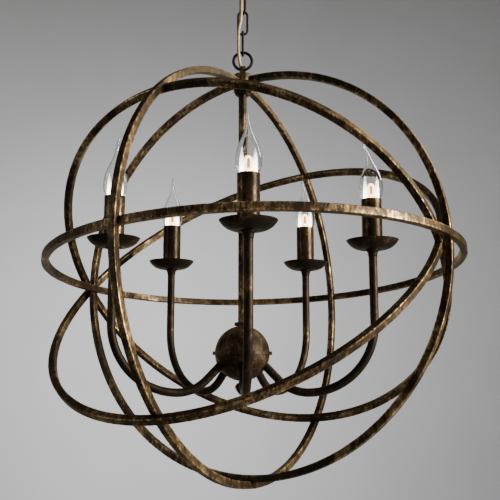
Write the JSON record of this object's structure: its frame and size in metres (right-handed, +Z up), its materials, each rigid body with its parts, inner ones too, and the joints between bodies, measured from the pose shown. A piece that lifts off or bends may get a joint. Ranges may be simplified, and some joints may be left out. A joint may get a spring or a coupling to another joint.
{
  "type": "chandelier",
  "caption": "Orb chandelier: a globe of square bar rings round a central stem with curved arms, drip dishes and flame bulbs, hung on a short chain from a ceiling rose.",
  "frame": {"origin": "middle of the ceiling face, over the stem's axis", "axes": "+Z up out of the ceiling face, +Y the way the picture looks, +X to its right"},
  "size_m": [0.6045, 0.5988, 0.8489],
  "materials": {
    "antique_gold": "satin",
    "ring_bar": "satin",
    "dark_bronze": "satin",
    "candle_sleeve": "satin",
    "bulb_glass": "clear",
    "filament": "glowing",
    "lamp_cap": "polished",
    "black_plastic": "matte",
    "pale_plastic": "matte",
    "cable_jacket": "satin",
    "zinc_steel": "satin"
  },
  "bodies": {
    "ceiling_mount": {"mounting_bracket": "zinc_steel", "canopy": "antique_gold", "canopy_nuts": "zinc_steel", "ceiling_loop": "dark_bronze", "cable_bush": "black_plastic", "connector_block": "pale_plastic", "power_cable": "cable_jacket"},
    "link_1": {"chain_link_1": "dark_bronze"},
    "link_2": {"chain_link_2": "dark_bronze"},
    "link_3": {"chain_link_3": "dark_bronze"},
    "link_4": {"chain_link_4": "dark_bronze"},
    "loop": {"loop_ring": "dark_bronze"},
    "orb": {"hanging_eye": "antique_gold", "top_boss": "antique_gold", "ring_upright": "ring_bar", "ring_cross": "ring_bar", "ring_level": "ring_bar", "ring_near_high": "ring_bar", "ring_near_low": "ring_bar", "stem": "antique_gold", "stem_nuts": "dark_bronze", "arm_hub": "antique_gold", "hub_cap": "zinc_steel", "ball_upper": "antique_gold", "ball_lower": "antique_gold", "finial": "antique_gold", "wire_splice": "pale_plastic", "lamp_leads": "black_plastic", "lampholders": "black_plastic", "candle_nipples": "zinc_steel", "arm_1": "antique_gold", "arm_2": "antique_gold", "arm_3": "antique_gold", "arm_4": "antique_gold", "arm_5": "antique_gold", "dish_1": "antique_gold", "dish_2": "antique_gold", "dish_3": "antique_gold", "dish_4": "antique_gold", "dish_5": "antique_gold", "candle_sleeve_1": "candle_sleeve", "candle_sleeve_2": "candle_sleeve", "candle_sleeve_3": "candle_sleeve", "candle_sleeve_4": "candle_sleeve", "candle_sleeve_5": "candle_sleeve"},
    "bulb_1": {"bulb_cap_1": "lamp_cap", "bulb_glass_1": "bulb_glass", "bulb_filament_1": "filament"},
    "bulb_2": {"bulb_cap_2": "lamp_cap", "bulb_glass_2": "bulb_glass", "bulb_filament_2": "filament"},
    "bulb_3": {"bulb_cap_3": "lamp_cap", "bulb_glass_3": "bulb_glass", "bulb_filament_3": "filament"},
    "bulb_4": {"bulb_cap_4": "lamp_cap", "bulb_glass_4": "bulb_glass", "bulb_filament_4": "filament"},
    "bulb_5": {"bulb_cap_5": "lamp_cap", "bulb_glass_5": "bulb_glass", "bulb_filament_5": "filament"}
  },
  "joints": [
    {"name": "link_1_swing", "type": "hinge", "parent": "ceiling_mount", "child": "link_1", "pos_m": [0, 0, -0.06775], "axis": [-0.5, 0.866, 0], "range_deg": [-12, 12], "deforming": ["power_cable"]},
    {"name": "link_2_swing", "type": "hinge", "parent": "link_1", "child": "link_2", "pos_m": [0, 0, -0.10115], "axis": [0.866, 0.5, 0], "range_deg": [-12, 12], "deforming": ["power_cable"]},
    {"name": "link_3_swing", "type": "hinge", "parent": "link_2", "child": "link_3", "pos_m": [0, 0, -0.13525], "axis": [-0.5, 0.866, 0], "range_deg": [-12, 12], "deforming": ["power_cable"]},
    {"name": "link_4_swing", "type": "hinge", "parent": "link_3", "child": "link_4", "pos_m": [0, 0, -0.16935], "axis": [1, 0, 0], "range_deg": [-12, 12], "deforming": ["power_cable"]},
    {"name": "loop_swing", "type": "hinge", "parent": "link_4", "child": "loop", "pos_m": [0, 0, -0.20345], "axis": [0, 1, 0], "range_deg": [-15, 15], "deforming": ["power_cable"]},
    {"name": "orb_swing", "type": "hinge", "parent": "loop", "child": "orb", "pos_m": [0, 0, -0.2276], "axis": [1, 0, 0], "range_deg": [-20, 20], "deforming": ["power_cable"]},
    {"name": "bulb_1_turn", "type": "hinge", "parent": "orb", "child": "bulb_1", "pos_m": [0.00943, -0.19277, -0.4753], "axis": [0, 0, 1], "continuous": true},
    {"name": "bulb_2_turn", "type": "hinge", "parent": "orb", "child": "bulb_2", "pos_m": [0.18625, -0.0506, -0.4753], "axis": [0, 0, 1], "continuous": true},
    {"name": "bulb_3_turn", "type": "hinge", "parent": "orb", "child": "bulb_3", "pos_m": [0.10568, 0.1615, -0.4753], "axis": [0, 0, 1], "continuous": true},
    {"name": "bulb_4_turn", "type": "hinge", "parent": "orb", "child": "bulb_4", "pos_m": [-0.12094, 0.15041, -0.4753], "axis": [0, 0, 1], "continuous": true},
    {"name": "bulb_5_turn", "type": "hinge", "parent": "orb", "child": "bulb_5", "pos_m": [-0.18042, -0.06854, -0.4753], "axis": [0, 0, 1], "continuous": true}
  ]
}
